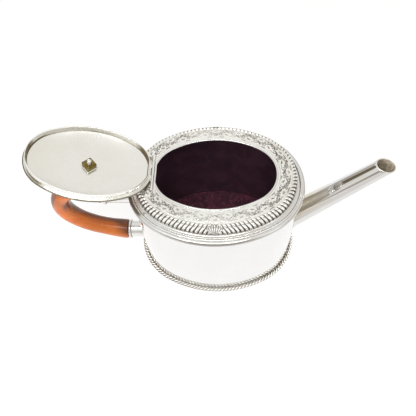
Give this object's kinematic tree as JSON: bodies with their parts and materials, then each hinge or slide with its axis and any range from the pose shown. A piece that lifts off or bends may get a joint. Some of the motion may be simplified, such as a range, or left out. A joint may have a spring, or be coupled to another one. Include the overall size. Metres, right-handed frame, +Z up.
{
  "type": "teapot",
  "caption": "Oval straight-sided silver teapot with an engraved shoulder, straight tapered spout, wooden side handle and a hinged lid standing open.",
  "frame": {"origin": "middle of the flat base, where the pot stands", "axes": "+Z up, +X towards the spout, -X towards the handle"},
  "size_m": [0.2567, 0.1056, 0.1237],
  "materials": {
    "silver_polished": "polished silver plate, bright, with faint warm tarnish",
    "silver_ornament": "chased and engraved silver with dark tarnish left in the recesses",
    "silver_satin": "soft bright silver, lightly scratched",
    "brass": "worn brass with silver wash",
    "fruitwood": "polished orange-brown fruitwood, dark stain near the ferrules"
  },
  "bodies": {
    "pot": {"body_wall": "silver_polished", "base_plate": "silver_satin", "foot_strip": "silver_polished", "rope_border": "silver_ornament", "shoulder_band": "silver_polished", "gadroon_border": "silver_ornament", "shoulder_plate": "silver_ornament", "mouth_wire": "silver_polished", "spout": "silver_polished", "upper_socket": "silver_polished", "lower_socket": "silver_polished", "upper_collar": "silver_polished", "lower_collar": "silver_polished", "handle": "fruitwood", "upper_handle_pin": "silver_polished", "lower_handle_pin": "silver_polished", "hinge_seat": "silver_ornament", "hinge_pin": "silver_satin"},
    "lid": {"lid_plate": "silver_polished", "lid_bezel": "silver_polished", "lid_border": "silver_polished", "lid_hinge_knuckles": "silver_ornament", "finial_seat": "silver_polished", "finial_knop": "fruitwood", "finial_screw": "silver_satin", "nut_washer": "silver_satin", "square_nut": "brass"}
  },
  "joints": [
    {"name": "lid_hinge", "type": "hinge", "parent": "pot", "child": "lid", "pos_m": [-0.0447, 0, 0.0977], "axis": [0, 1, 0], "range_deg": [0, 166]}
  ]
}
